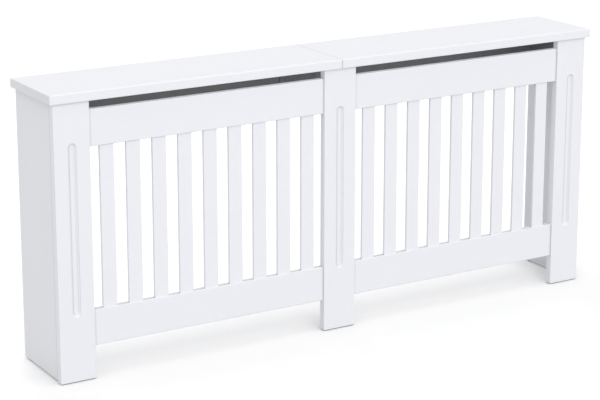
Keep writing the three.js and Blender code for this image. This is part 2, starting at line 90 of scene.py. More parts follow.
Span = tuple[float, float]
Point = tuple[float, float, float]
Colour = tuple[float, float, float]
Shadow = tuple[Span, ...]
Socket = bpy.types.NodeSocket
Node = bpy.types.Node
Given = Socket | Node | float | tuple
Tree = bpy.types.NodeTree
Material = bpy.types.Material
Mesh = bpy.types.Mesh
Draft = bmesh.types.BMesh
Vertex = bmesh.types.BMVert


class Axis(Enum):
    """A direction of the frame."""

    X = 0
    Y = 1
    Z = 2

    def facing(self, way: float) -> Vector:
        """The vector along it, forwards for 1 and backwards for -1."""
        return Vector([way if index == self.value else 0.0 for index in range(3)])


class SlotName(Enum):
    """Names of material slots in the record; nothing in this script uses them."""

    BOARD = "painted_board"
    ZINC = "zinc_steel"


@dataclass(frozen=True)
class Block:
    """An upright box in the frame's axes."""

    low: Vector
    high: Vector

    @classmethod
    def of_node(cls, node: str) -> Block:
        """The box that a construction node fills at rest."""
        low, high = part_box(node)
        return cls(low, high)

    @property
    def size(self) -> Vector:
        """Its three side lengths."""
        return self.high - self.low

    @property
    def centre(self) -> Vector:
        """Its middle point."""
        return (self.high + self.low) / 2

    def draft(self) -> Draft:
        """Draws it as a mesh.

        Returns:
            The mesh, which the caller frees.
        """
        mesh = bmesh.new()
        placed = Matrix.Translation(self.centre) @ Matrix.Diagonal((*self.size, 1.0))
        bmesh.ops.create_cube(mesh, size=1.0, matrix=placed)
        return mesh


# --- node trees


class TreeMaker:
    """Adds nodes to one node tree, with their sockets found by name."""

    def __init__(self, tree: Tree) -> None:
        """Keeps the tree."""
        self.tree = tree

    def add(self, kind: str, settings: dict | None = None, inputs: dict | None = None) -> Node:
        """Adds one node.

        Args:
            kind: the node's type name.
            settings: node properties to set, by name.
            inputs: what its inputs take, by name or index: a value, a socket to join, or a node
                to join by its first output.

        Returns:
            The new node.
        """
        node = self.tree.nodes.new(kind)
        for key, value in (settings or {}).items():
            setattr(node, key, value)
        for key, given in (inputs or {}).items():
            value = given.outputs[0] if isinstance(given, Node) else given
            if isinstance(value, Socket):
                self.tree.links.new(value, node.inputs[key])
            else:
                node.inputs[key].default_value = value
        return node

    def math(self, operation: str, *operands: float | Socket, clamp: bool = False) -> Socket:
        """The result of a Math node, from sockets or numbers in order."""
        settings = {"operation": operation, "use_clamp": clamp}
        return self.add("ShaderNodeMath", settings, dict(enumerate(operands))).outputs[0]

    def mix(self, share: Socket, first: Given, second: Given, kind: str = "RGBA") -> Socket:
        """A blend that is the first value where the share is 0 and the second where it is 1."""
        inputs = {"Factor": share, "A": first, "B": second}
        return self.add("ShaderNodeMix", {"data_type": kind}, inputs).outputs["Result"]

    def place(self) -> Socket:
        """The object's own coordinates."""
        return self.add("ShaderNodeTexCoord").outputs["Object"]

    def part(self, vector: Socket, axis: str) -> Socket:
        """A vector's part along the axis of that name."""
        return self.add("ShaderNodeSeparateXYZ", inputs={0: vector}).outputs[axis]

    def mark(self, attribute: str) -> Socket:
        """The mesh's own attribute of that name."""
        return self.add("ShaderNodeAttribute", {"attribute_name": attribute}).outputs["Fac"]

    def ramp(self, value: Socket, reach: Span, result: Span, shape: str = "LINEAR") -> Socket:
        """Carries a value's range over to another range, and stays there beyond its ends.

        Args:
            value: the value.
            reach: the range that it comes from.
            result: the range that it goes to.
            shape: the kind of step between the ends.

        Returns:
            The new value.
        """
        return self.add("ShaderNodeMapRange", {"interpolation_type": shape}, {
            "Value": value, "From Min": reach[0], "From Max": reach[1],
            "To Min": result[0], "To Max": result[1],
        }).outputs["Result"]

    def noise(self, scale: Socket, detail: float, reach: Span | None = None) -> Socket:
        """A noise pattern on the object's own coordinates.

        Args:
            scale: its scale.
            detail: its detail.
            reach: the range that its middle is stretched to, if it is.

        Returns:
            The pattern.
        """
        pattern = self.add("ShaderNodeTexNoise", inputs={
            "Vector": self.place(), "Scale": scale, "Detail": detail, "Roughness": NOISE_ROUGHNESS,
        }).outputs["Fac"]
        return self.ramp(pattern, NOISE_MIDDLE, reach) if reach else pattern


class GroupMaker(TreeMaker):
    """Builds one node group, whose inputs are read by name."""

    def __init__(self, name: str, inputs: dict, kind: str = "ShaderNodeTree") -> None:
        """Opens the group.

        Args:
            name: its name.
            inputs: its inputs by name, each with its default, or with its kind instead.
            kind: its tree's type.
        """
        super().__init__(bpy.data.node_groups.new(name, kind))
        for label, default in inputs.items():
            typed = isinstance(default, str)
            made = self._socket(label, "INPUT", default if typed else INPUT_KINDS[type(default)])
            if not typed:
                made.default_value = default
        self.inlet = self.add("NodeGroupInput")

    def _socket(self, label: str, way: str, kind: str) -> bpy.types.NodeTreeInterfaceSocket:
        """Adds a named socket to the group's outside."""
        new_socket = self.tree.interface.new_socket
        return new_socket(label, in_out=way, socket_type=f"NodeSocket{kind}")

    def __getitem__(self, name: str) -> Socket:
        """What comes in by the input of that name."""
        return self.inlet.outputs[name]

    def close(self, results: dict[str, Socket | Node]) -> Tree:
        """Gives the results out by their names.

        Args:
            results: what goes out.

        Returns:
            The finished group.
        """
        for label in results:
            self._socket(label, "OUTPUT", OUTPUT_KINDS.get(label, "Float"))
        self.add("NodeGroupOutput", inputs=results)
        return self.tree

    def close_instances(self, inputs: dict) -> Tree:
        """Stands instances on points, makes them real, gives them the finish and ends the tree.

        Args:
            inputs: the points, the instance, and how it is turned and scaled.

        Returns:
            The finished tree.
        """
        stood = self.add("GeometryNodeInstanceOnPoints", inputs=inputs)
        real = self.add("GeometryNodeRealizeInstances", inputs={0: stood})
        finish = {"Geometry": real, "Material": self["Finish"]}
        return self.close({"Geometry": self.add("GeometryNodeSetMaterial", inputs=finish)})


class MaterialMaker(TreeMaker):
    """Builds one node material."""

    def __init__(self, name: str) -> None:
        """Opens an empty material.

        Args:
            name: its name.
        """
        self.material = bpy.data.materials.new(name)
        self.material.use_nodes = True
        self.material.node_tree.nodes.clear()
        super().__init__(self.material.node_tree)

    def lay(self, group: Tree, values: dict, under: Node | None = None) -> Node:
        """Lays a shared effect over the one before it.

        Args:
            group: the effect's group.
            values: its own values, by name.
            under: the node before it, whose colour and roughness it takes where both have them.

        Returns:
            The group's node.
        """
        node = self.add("ShaderNodeGroup", {"node_tree": group}, values)
        for name in ("Colour", "Roughness"):
            if under and name in under.outputs and name in node.inputs:
                self.tree.links.new(under.outputs[name], node.inputs[name])
        return node

    def close(
        self, colour: Node, rough: Node, height: Node, depth: float, metallic: float = 0.0
    ) -> Material:
        """Joins the effects to a Principled shader.

        Args:
            colour: the node that gives the colour.
            rough: the node that gives the roughness.
            height: the node that gives the height pattern, 0 to 1.
            depth: how far 1 stands above 0, in metres.
            metallic: 1 for metal.

        Returns:
            The material.
        """
        bump = self.add("ShaderNodeBump", inputs={
            "Strength": 1.0, "Distance": depth, "Height": height.outputs["Height"],
        })
        shader = self.add("ShaderNodeBsdfPrincipled", inputs={
            "Base Color": colour.outputs["Colour"], "Roughness": rough.outputs["Roughness"],
            "Metallic": metallic, "Normal": bump,
        })
        self.add("ShaderNodeOutputMaterial", inputs={"Surface": shader})
        return self.material


class SharedEffects:
    """The shader groups that finishes are made of, each built once."""

    def __init__(self) -> None:
        """Builds the groups."""
        self.film_and_shade = self._sprayed_film()
        self.worn = self._arris_highlight()
        self.dust = self._settled_dust()
        self.painted_shade = self._painted_shade_group()
        self.channel = self._painted_channel_shade()
        self.grain = self._metal_grain()

    @staticmethod
    def _shaded(group: GroupMaker, drift: Socket) -> Socket:
        """The group's colour, a little lighter and darker by its shade drift.

        Args:
            group: the group.
            drift: where it is lighter, -1 to 1.

        Returns:
            The colour.
        """
        shade = group.math("MULTIPLY_ADD", drift, group["Shade Drift"], 1.0)
        inputs = {0: group["Colour"], "Scale": shade}
        return group.add("ShaderNodeVectorMath", {"operation": "SCALE"}, inputs).outputs[0]

    @staticmethod
    def _patchy(group: GroupMaker, source: Socket, detail: float, least: float) -> Socket:
        """Where an effect shows: its source, broken into patches, times its amount.

        Args:
            group: the group.
            source: where the effect may show.
            detail: the detail of the patches.
            least: what is left of it between them.

        Returns:
            The mask.
        """
        patches = group.noise(group["Patch Scale"], detail, (least, 1.0))
        held = group.math("MULTIPLY", source, patches)
        return group.math("MULTIPLY", held, group["Amount"], clamp=True)

    def _sprayed_film(self) -> Tree:
        """Paint or a moulded skin: slow drift of shade and sheen, and a fine orange peel.

        Returns:
            The group.
        """
        group = GroupMaker("sprayed_film", {
            "Colour": PALE, "Shade Drift": 0.01, "Roughness": 0.4, "Roughness Drift": 0.05,
            "Drift Scale": 5.0, "Peel Scale": 450.0,
        })
        drift = group.noise(group["Drift Scale"], 2.0, (-1.0, 1.0))
        return group.close({
            "Colour": self._shaded(group, drift),
            "Roughness": group.math(
                "MULTIPLY_ADD", drift, group["Roughness Drift"], group["Roughness"]),
            "Height": group.noise(group["Peel Scale"], 3.0),
        })

    def _arris_highlight(self) -> Tree:
        """A painted highlight, lighter and less rough, along the arrises that the mesh's arris
        attribute marks.

        Returns:
            The group.
        """
        group = GroupMaker("arris_wear", {
            "Colour": PALE, "Highlight Colour": PALE, "Roughness": 0.4, "Highlight Roughness": 0.3,
            "Amount": 0.5, "Patch Scale": 40.0,
        })
        mask = self._patchy(group, group.mark(ARRIS_HIGHLIGHT_ATTRIBUTE), detail=4.0, least=0.35)
        return group.close({
            "Colour": group.mix(mask, group["Colour"], group["Highlight Colour"]),
            "Roughness": group.mix(mask, group["Roughness"], group["Highlight Roughness"], "FLOAT"),
        })

    def _settled_dust(self) -> Tree:
        """A trace of dust on faces that look up: a little duller and a little greyer.

        Returns:
            The group.
        """
        group = GroupMaker("settled_dust", {
            "Colour": PALE, "Dust Colour": PALE, "Roughness": 0.4, "Amount": 0.05,
            "Patch Scale": 12.0, "Level From": 0.6,
        })
        up = group.part(group.add("ShaderNodeNewGeometry").outputs["Normal"], "Z")
        level = group.ramp(up, (group["Level From"], 1.0), (0.0, 1.0))
        mask = self._patchy(group, level, detail=5.0, least=0.2)
        return group.close({
            "Colour": group.mix(mask, group["Colour"], group["Dust Colour"]),
            "Roughness": group.math("ADD", group["Roughness"], mask, clamp=True),
        })

    def _painted_shade_group(self) -> Tree:
        """Painted shade in hollows, inside corners and under overhangs, from the mesh's own
        attribute.

        Returns:
            The group.
        """
        group = GroupMaker("corner_film", {
            "Colour": PALE, "Film Colour": PALE, "Amount": 0.5, "Patch Scale": 30.0,
        })
        mask = self._patchy(group, group.mark(PAINTED_SHADE_ATTRIBUTE), detail=3.0, least=0.85)
        return group.close({"Colour": group.mix(mask, group["Colour"], group["Film Colour"])})

    def _painted_channel_shade(self) -> Tree:
        """Dark paint as painted shade inside the warm air channel, on the faces marked as looking
        into it.

        A mark of more than 1 shows the dark paint at any height, by its part over 1.

        Returns:
            The group.
        """
        group = GroupMaker("bare_channel", {
            "Colour": PALE, "Unlit Colour": PALE, "Channel Foot": 0.64, "Fade": 0.01,
        })
        marked = group.mark(PAINTED_DARK_ATTRIBUTE)
        rise = group.math("SUBTRACT", group.part(group.place(), "Z"), group["Channel Foot"])
        above = group.math("DIVIDE", rise, group["Fade"], clamp=True)
        inside = group.math("MULTIPLY", marked, above, clamp=True)
        primed = group.math("MAXIMUM", inside, group.math("SUBTRACT", marked, 1.0, clamp=True))
        return group.close({"Colour": group.mix(primed, group["Colour"], group["Unlit Colour"])})

    def _metal_grain(self) -> Tree:
        """Plated or cast metal: blotches of shade, broken sheen and a fine grain.

        Returns:
            The group.
        """
        group = GroupMaker("metal_grain", {
            "Colour": PALE, "Shade Drift": 0.1, "Roughness": 0.35, "Blotch Scale": 90.0,
            "Grain Scale": 900.0,
        })
        grain = group.noise(group["Grain Scale"], 4.0)
        sheen = group.ramp(grain, NOISE_MIDDLE, (-GRAIN_SHEEN, GRAIN_SHEEN))
        return group.close({
            "Colour": self._shaded(group, group.noise(group["Blotch Scale"], 3.0, (-1.0, 1.0))),
            "Roughness": group.math("ADD", sheen, group["Roughness"], clamp=True),
            "Height": grain,
        })


# --- finishes


@dataclass(frozen=True)
class PaintFinish:
    """Sprayed paint on board: cool white, semi-gloss, with painted highlights and painted shade."""

    name: str
    colour: Colour
    highlight_colour: Colour
    roughness: float = 0.36
    highlight_roughness: float = 0.26
    shade_drift: float = 0.006
    peel_scale: float = 420.0
    peel_depth: float = 0.00004
    highlight_amount: float = 0.5
    dust: float = 0.03
    dust_colour: Colour = (0.74, 0.73, 0.71)
    # Painted shade in hollows, inside corners and under overhangs: its amount and colour.
    film_and_shade: float = 0.42
    painted_shade_colour: Colour = (0.60, 0.605, 0.62)
    # Dark paint standing in for shade inside the warm air channel, above its foot.
    unlit_colour: Colour = (0.20, 0.20, 0.202)
    channel_foot: float = 0.636

    def build(self, shared: SharedEffects) -> Material:
        """Makes the material.

        Args:
            shared: the shader groups.

        Returns:
            The material.
        """
        maker = MaterialMaker(self.name)
        film_and_shade = maker.lay(shared.film_and_shade, {
            "Colour": (*self.colour, 1.0), "Shade Drift": self.shade_drift,
            "Roughness": self.roughness, "Peel Scale": self.peel_scale,
        })
        # Painted highlight along the arrises, with lower roughness there.
        worn = maker.lay(shared.worn, {
            "Highlight Colour": (*self.highlight_colour, 1.0), "Highlight Roughness": self.highlight_roughness,
            "Amount": self.highlight_amount,
        }, film_and_shade)
        dust = maker.lay(shared.dust, {
            "Dust Colour": (*self.dust_colour, 1.0), "Amount": self.dust,
        }, worn)
        # Painted shade in hollows, inside corners and under overhangs.
        painted_shade = maker.lay(shared.painted_shade, {
            "Film Colour": (*self.painted_shade_colour, 1.0), "Amount": self.film_and_shade,
        }, dust)
        # Painted shade: dark paint inside the warm air channel and in the feet's relief.
        channel = maker.lay(shared.channel, {
            "Unlit Colour": (*self.unlit_colour, 1.0), "Channel Foot": self.channel_foot,
        }, painted_shade)
        return maker.close(channel, dust, film_and_shade, self.peel_depth)


@dataclass(frozen=True)
class MetalFinish:
    """Plated steel or cast zinc."""

    name: str
    colour: Colour
    roughness: float
    shade_drift: float
    grain_depth: float

    def build(self, shared: SharedEffects) -> Material:
        """Makes the material.

        Args:
            shared: the shader groups.

        Returns:
            The material.
        """
        maker = MaterialMaker(self.name)
        grain = maker.lay(shared.grain, {
            "Colour": (*self.colour, 1.0), "Shade Drift": self.shade_drift,
            "Roughness": self.roughness,
        })
        return maker.close(grain, grain, grain, self.grain_depth, metallic=1.0)


@dataclass(frozen=True)
class PlasticFinish:
    """Moulded plastic with a fine spark-eroded skin."""

    name: str
    colour: Colour
    roughness: float
    shade_drift: float = 0.02
    drift_scale: float = 30.0
    skin_scale: float = 1400.0
    skin_depth: float = 0.00003

    def build(self, shared: SharedEffects) -> Material:
        """Makes the material.

        Args:
            shared: the shader groups.

        Returns:
            The material.
        """
        maker = MaterialMaker(self.name)
        skin = maker.lay(shared.film_and_shade, {
            "Colour": (*self.colour, 1.0), "Shade Drift": self.shade_drift,
            "Roughness": self.roughness, "Drift Scale": self.drift_scale,
            "Peel Scale": self.skin_scale,
        })
        return maker.close(skin, skin, skin, self.skin_depth)


# The second colour is the painted highlight on the arrises.
PAINT = PaintFinish("cool_white_paint", (0.865, 0.874, 0.915), (0.93, 0.934, 0.955))
ZINC = MetalFinish("bright_zinc", (0.70, 0.71, 0.73), 0.32, 0.10, 0.00002)
BLACK_ZINC = MetalFinish("black_passivated_zinc", (0.21, 0.21, 0.215), 0.55, 0.12, 0.00003)
CAM_METAL = MetalFinish("die_cast_zinc", (0.52, 0.53, 0.54), 0.48, 0.14, 0.00006)
BLOCK_PLASTIC = PlasticFinish("white_block_plastic", (0.80, 0.80, 0.81), 0.42)
GLIDE_PLASTIC = PlasticFinish("grey_glide_plastic", (0.62, 0.62, 0.63), 0.5)


class FinishShelf:
    """Every material of the cabinet, built once."""

    def __init__(self) -> None:
        """Builds the materials."""
        shared = SharedEffects()
        self.paint = PAINT.build(shared)
        self.zinc = ZINC.build(shared)
        self.black_zinc = BLACK_ZINC.build(shared)
        self.cam = CAM_METAL.build(shared)
        self.block = BLOCK_PLASTIC.build(shared)
        self.glide = GLIDE_PLASTIC.build(shared)


# --- mesh tools


def mark_arrises(mesh: Draft, narrow: float) -> None:
    """Writes 1 on the vertices that only narrow faces touch, the middle of each arris, where the
    painted highlight goes.

    Args:
        mesh: the mesh, with its arrises already rounded.
        narrow: the width below which a face is part of an arris.
    """
    layers = mesh.verts.layers.float
    layer = layers.get(ARRIS_HIGHLIGHT_ATTRIBUTE) or layers.new(ARRIS_HIGHLIGHT_ATTRIBUTE)
    for vertex in mesh.verts:
        slim = all(face.calc_area() < narrow * longest_edge(face) for face in vertex.link_faces)
        vertex[layer] = 1.0 if slim else 0.0


def longest_edge(face: bmesh.types.BMFace) -> float:
    """The length of a face's longest edge."""
    return max(edge.calc_length() for edge in face.edges)


def rounded_board(block: Block, arris: float, steps: int = 4) -> Draft:
    """A board with every arris rounded.

    Args:
        block: the board's box.
        arris: the radius of its arrises.
        steps: faces across each arris.

    Returns:
        The mesh, which the caller frees.
    """
    mesh = block.draft()
    bmesh.ops.bevel(
        mesh, geom=list(mesh.edges), offset=arris, segments=steps, profile=0.5,
        affect="EDGES", clamp_overlap=True,
    )
    mark_arrises(mesh, arris)
    return mesh


def mark_channel_shade(mesh: Draft, inward: Vector) -> None:
    """Writes 1 on the faces that look into the warm air channel, where dark paint stands in for
    shade.

    Args:
        mesh: the mesh of a board that borders the channel.
        inward: the direction from the board into the channel.
    """
    layer = mesh.faces.layers.float.new(PAINTED_DARK_ATTRIBUTE)
    for face in mesh.faces:
        face[layer] = 1.0 if face.normal.dot(inward) > LOOKS_THERE else 0.0


def slice_board(mesh: Draft, point: Vector, way: Vector, keep_outer: bool = True) -> None:
    """Cuts a mesh along a plane.

    Args:
        mesh: the mesh.
        point: a point on the plane.
        way: the direction that the plane looks in.
        keep_outer: whether what lies that way stays.
    """
    bmesh.ops.bisect_plane(
        mesh, geom=[*mesh.verts, *mesh.edges, *mesh.faces], plane_co=point, plane_no=way,
        clear_outer=not keep_outer,
    )


def lay_painted_shade(mesh: Draft, side: Vector, inward: Vector, film_and_shade: Shadow) -> None:
    """Lays painted shade along one side of a board, beside a joint, seam or overhang.

    Args:
        mesh: the board's mesh.
        side: a point on that side.
        inward: the direction from the side into the board.
        film_and_shade: pairs of the distance from the side and the painted shade there, from the
            side inwards to none.
    """
    for reach, _ in film_and_shade[1:]:
        slice_board(mesh, side + inward * reach, inward)
    layers = mesh.verts.layers.float
    layer = layers.get(PAINTED_SHADE_ATTRIBUTE) or layers.new(PAINTED_SHADE_ATTRIBUTE)
    for vertex in mesh.verts:
        reach = (vertex.co - side).dot(inward)
        for (near, thick), (far, thin) in zip(film_and_shade, film_and_shade[1:]):
            if near - FILM_MARGIN <= reach <= far + TOUCHING:
                share = min(1.0, max(0.0, (reach - near) / (far - near)))
                vertex[layer] = max(vertex[layer], thick + (thin - thick) * share)


def skin_rings(mesh: Draft, rings: list[list[Vertex]]) -> None:
    """Fills the band between each closed ring of vertices and the next.

    Args:
        mesh: the mesh to add to.
        rings: rings of as many vertices each.
    """
    for outer, inner in zip(rings, rings[1:]):
        for index, vertex in enumerate(outer):
            following = (index + 1) % len(outer)
            mesh.faces.new((vertex, outer[following], inner[following], inner[index]))


def turn_outwards(mesh: Draft) -> None:
    """Makes every face look outwards."""
    bmesh.ops.recalc_face_normals(mesh, faces=list(mesh.faces))


def ring_cutter(block: Block, inset: float, height: float, foot_shade: float) -> Mesh:
    """A rectangular ring that cuts away the edge round a board's foot.

    Args:
        block: the board's box.
        inset: how far the cut goes in from the board's sides.
        height: how far it goes up from the board's foot.
        foot_shade: how much dark paint shows on the cut's faces, as painted shade under the foot.

    Returns:
        The closed cutter.
    """
    mesh = bmesh.new()
    rings = []
    for reach, level in (
        (-CUT_MARGIN, -CUT_MARGIN), (-CUT_MARGIN, height), (inset, height), (inset, -CUT_MARGIN),
    ):
        left, right = block.low.x + reach, block.high.x - reach
        front, back = block.low.y + reach, block.high.y - reach
        corners = ((left, front), (right, front), (right, back), (left, back))
        rings.append([mesh.verts.new((x, y, block.low.z + level)) for x, y in corners])
    skin_rings(mesh, rings + rings[:1])
    turn_outwards(mesh)
    # The cut's faces get dark paint as a painted contact shadow under the foot.
    layer = mesh.faces.layers.float.new(PAINTED_DARK_ATTRIBUTE)
    for face in mesh.faces:
        face[layer] = 1.0 + foot_shade
    return to_mesh(mesh, "ring_cutter")


def to_mesh(mesh: Draft, name: str) -> Mesh:
    """Writes a draft out as a named mesh and frees it.

    Args:
        mesh: the draft.
        name: the mesh's name.

    Returns:
        The mesh.
    """
    made = bpy.data.meshes.new(name)
    mesh.to_mesh(made)
    mesh.free()
    return made


def stand(name: str, data: bpy.types.ID) -> bpy.types.Object:
    """Puts a new object in the scene, at the origin.

    Args:
        name: its name.
        data: its mesh, light or camera.

    Returns:
        The object.
    """
    thing = bpy.data.objects.new(name, data)
    bpy.context.scene.collection.objects.link(thing)
    return thing


def bake(thing: bpy.types.Object) -> Mesh:
    """The plain mesh that an object's modifiers make.

    Args:
        thing: the object.

    Returns:
        The mesh.
    """
    graph = bpy.context.evaluated_depsgraph_get()
    graph.update()
    return bpy.data.meshes.new_from_object(thing.evaluated_get(graph), depsgraph=graph)


def run_tree(tree: Tree, base: Mesh, values: dict) -> Mesh:
    """Runs a Geometry Nodes tree on a mesh and returns the plain result.

    Args:
        tree: the tree.
        base: the mesh that goes in.
        values: its inputs, by name.

    Returns:
        The mesh that comes out.
    """
    work = stand("work", base)
    modifier = work.modifiers.new("tree", "NODES")
    modifier.node_group = tree
    for item in tree.interface.items_tree:
        if item.item_type == "SOCKET" and item.in_out == "INPUT" and item.name in values:
            modifier[item.identifier] = values[item.name]
    made = bake(work)
    bpy.data.objects.remove(work)
    return made


def settle(mesh: Mesh, cutters: list[Mesh]) -> Mesh:
    """Cuts a mesh, smooths it and weights its normals by face area, so that flat faces stay flat.

    Args:
        mesh: the mesh to finish.
        cutters: closed meshes to take out of it.

    Returns:
        The finished mesh.
    """
    work = stand("work", mesh)
    tools = []
    for cutter in cutters:
        tools.append(stand("cutter", cutter))
        carve = work.modifiers.new("carve", "BOOLEAN")
        carve.operation = "DIFFERENCE"
        carve.solver = "EXACT"
        carve.object = tools[-1]
    carved = bake(work) if cutters else mesh
    work.modifiers.clear()
    work.data = carved
    carved.polygons.foreach_set("use_smooth", [True] * len(carved.polygons))
    carved.set_sharp_from_angle(angle=SHARP_ANGLE)
    work.modifiers.new("weigh", "WEIGHTED_NORMAL").keep_sharp = True
    finished = bake(work)
    for extra in (work, *tools):
        bpy.data.objects.remove(extra)
    return finished


def place_piece(
    name: str, mesh: Mesh, material: Material, nodes: list[str]
) -> None:
    """Hangs a finished mesh on the cabinet.

    Args:
        name: the piece's name.
        mesh: its mesh, in the frame's own place.
        material: its finish.
        nodes: the construction nodes that it stands for.
    """
    mesh.name = name
    mesh.materials.clear()
    mesh.materials.append(material)
    piece = stand(name, mesh)
    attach(piece, BODY)
    if nodes:
        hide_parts(*nodes)
    LOG.info("%s: %d faces, stands for %d nodes", name, len(mesh.polygons), len(nodes))


# --- shelf, sides and hidden boards


@dataclass
class PlainBoards:
    """The shelf's halves, the side panels, the back rail and the stiffener, with soft edges."""

    paint: Material
    shelf_arris: float = 0.0025
    shelf_steps: int = 6
    seam_arris: float = 0.0011
    seam_steps: int = 3
    seam_clearance: float = 0.0003
    # Painted shade at the shelf's seam and outer ends, and on the side panels under the shelf and
    # beside the posts.
    seam_shade: Shadow = ((0.0, 0.6), (0.0018, 0.4), (0.007, 0.0))
    end_shade: Shadow = ((0.0, 0.6), (0.0026, 0.0))
    side_arris: float = 0.0012
    under_shelf_shade: Shadow = ((0.0, 2.4), (0.004, 2.1), (0.009, 0.5), (0.024, 0.0))
    beside_post_shade: Shadow = ((0.0, 1.8), (0.003, 1.5), (0.009, 0.0))
    hidden_arris: float = 0.0008
    hidden_steps: int = 3

    def build(self) -> None:
        """Makes every plain board."""
        for side, inward in INWARD.items():
            self._shelf_half(f"shelf_{side}", f"top_panel_{side}", inward)
            self._side_panel(f"side_{side}", f"side_panel_{side}", inward)
            back = self._hidden(f"back_rail_{side}")
            mark_channel_shade(back, Axis.Y.facing(-1.0))
            self._place(back, f"back_{side}", f"back_rail_{side}")
        self._place(self._hidden("centre_post_stiffener"), "stiffener", "centre_post_stiffener")

    def _hidden(self, node: str) -> Draft:
        """A board that is out of sight, in its node's place."""
        return rounded_board(Block.of_node(node), self.hidden_arris, self.hidden_steps)

    def _place(self, mesh: Draft, name: str, node: str) -> None:
        """Hangs one finished board in the place of its node."""
        place_piece(name, settle(to_mesh(mesh, name), []), self.paint, [node])

    def _side_panel(self, name: str, node: str, inward: float) -> None:
        """Makes one side panel, with painted shade under the shelf's overhang and beside the post.

        Args:
            name: the piece's name.
            node: the construction node.
            inward: 1 if the cabinet lies to its +X side, -1 if to its -X side.
        """
        block = Block.of_node(node)
        mesh = rounded_board(block, self.side_arris)
        lay_painted_shade(mesh, block.high, Axis.Z.facing(-1.0), self.under_shelf_shade)
        lay_painted_shade(mesh, block.low, Axis.Y.facing(1.0), self.beside_post_shade)
        mark_channel_shade(mesh, Axis.X.facing(inward))
        self._place(mesh, name, node)

    def _shelf_half(self, name: str, node: str, inward: float) -> None:
        """Makes one half of the shelf: soft outer edges, and a crisp end where it meets the other.

        Args:
            name: the piece's name.
            node: the construction node.
            inward: 1 if the seam is at its +X end, -1 if it is at its -X end.
        """
        block = Block.of_node(node)
        longer = Block(block.low.copy(), block.high.copy())
        seam_end, outer_end = (longer.high, block.low) if inward > 0 else (longer.low, block.high)
        seam = Vector((seam_end.x - inward * self.seam_clearance, 0.0, 0.0))
        seam_end.x += inward * 2 * self.shelf_arris
        mesh = rounded_board(longer, self.shelf_arris, self.shelf_steps)
        towards_seam = Axis.X.facing(inward)
        slice_board(mesh, seam, towards_seam, keep_outer=False)
        rim = [edge for edge in mesh.edges if edge.is_boundary]
        bmesh.ops.holes_fill(mesh, edges=rim)
        bmesh.ops.bevel(
            mesh, geom=rim, offset=self.seam_arris, segments=self.seam_steps, profile=0.5,
            affect="EDGES",
        )
        turn_outwards(mesh)
        mark_arrises(mesh, self.shelf_arris)
        # Painted shade at the outer end and along the seam.
        lay_painted_shade(mesh, outer_end, towards_seam, self.end_shade)
        lay_painted_shade(mesh, seam, -towards_seam, self.seam_shade)
        self._place(mesh, name, node)


# --- posts


@dataclass
class FlutedPosts:
    """The three posts, each with a routed flute that has a flat floor and round ends."""

    paint: Material
    arris: float = 0.0016
    flute_width: float = 0.024
    flute_depth: float = 0.005
    cove: float = 0.005
    shade_reach: float = 0.003
    relief_height: float = 0.0025
    relief_depth: float = 0.004
    relief_shade: float = 1.0
    lip: float = 0.0006
    flute_foot: float = 0.177
    flute_head: float = 0.639
    end_steps: int = 20
    cove_steps: int = 8
    lip_steps: int = 3

    def build(self) -> None:
        """Makes the three posts."""
        for place in ("left", "centre", "right"):
            name, node = f"fluted_post_{place}", f"post_{place}"
            block = Block.of_node(node)
            mesh = to_mesh(self._post(block), name)
            relief = ring_cutter(block, self.relief_depth, self.relief_height, self.relief_shade)
            place_piece(name, settle(mesh, [relief]), self.paint, [node])

    def _post(self, block: Block) -> Draft:
        """A rounded board whose front face opens into the flute.

        Args:
            block: the post's box.

        Returns:
            The mesh, which the caller frees.
        """
        mesh = rounded_board(block, self.arris)
        mesh.verts.layers.float.new(PAINTED_SHADE_ATTRIBUTE)
        mesh.faces.layers.float.new(PAINTED_DARK_ATTRIBUTE)
        front = min(mesh.faces, key=lambda face: face.calc_center_median().y - face.calc_area())
        rim = list(front.edges)
        bmesh.ops.delete(mesh, geom=[front], context="FACES_ONLY")
        rings = [self._ring(mesh, block, *point) for point in self._section()]
        mouth = [mesh.edges.new(pair) for pair in zip(rings[0], rings[0][1:] + rings[0][:1])]
        bmesh.ops.triangle_fill(
            mesh, use_beauty=True, edges=rim + mouth, normal=Axis.Y.facing(-1.0))
        skin_rings(mesh, rings)
        mesh.faces.new(rings[-1])
        turn_outwards(mesh)
        return mesh

    def _section(self) -> list[Point]:
        """The flute's section, from its soft lip down the hollow side to the floor.

        Returns:
            Reach from the flute's middle line, depth below the post's face, and painted shade.
        """
        mouth = self.flute_width / 2
        floor_reach = mouth - self.cove
        points = []
        for step in range(self.lip_steps + 1):
            angle = math.pi / 2 * step / self.lip_steps
            reach = mouth + self.lip * (1 - math.sin(angle))
            points.append((reach, self.lip * (1 - math.cos(angle)), 0.0))
        for step in range(1, self.cove_steps + 1):
            share = step / self.cove_steps
            angle = math.pi / 2 * (1 - share)
            depth = self.lip + (self.flute_depth - self.lip) * math.cos(angle)
            points.append((floor_reach + self.cove * math.sin(angle), depth, share ** 2))
        points.append((floor_reach - self.shade_reach, self.flute_depth, 0.0))
        return points

    def _ring(
        self, mesh: Draft, block: Block, reach: float, depth: float, film_and_shade: float
    ) -> list[Vertex]:
        """One closed ring round the flute, with half-round ends.

        Args:
            mesh: the mesh to add to.
            block: the post's box.
            reach: the ring's distance from the flute's middle line.
            depth: its depth below the post's face.
            film_and_shade: how much painted shade it has; none at the lower end, which faces the
                light, and twice as much on the left side, which faces away from it.

        Returns:
            The ring's vertices in order.
        """
        layer = mesh.verts.layers.float[PAINTED_SHADE_ATTRIBUTE]
        round_end = self.flute_width / 2
        ring = []
        for height, start in (
            (self.flute_head - round_end, 0.0), (self.flute_foot + round_end, math.pi),
        ):
            for step in range(self.end_steps + 1):
                angle = start + math.pi * step / self.end_steps
                across, up = math.cos(angle), math.sin(angle)
                vertex = mesh.verts.new((
                    block.centre.x + reach * across, block.low.y + depth, height + reach * up))
                # Painted shade in the flute's hollows.
                vertex[layer] = film_and_shade * (1.0 + min(0.0, up) + max(0.0, -across))
                ring.append(vertex)
        return ring


# --- rails


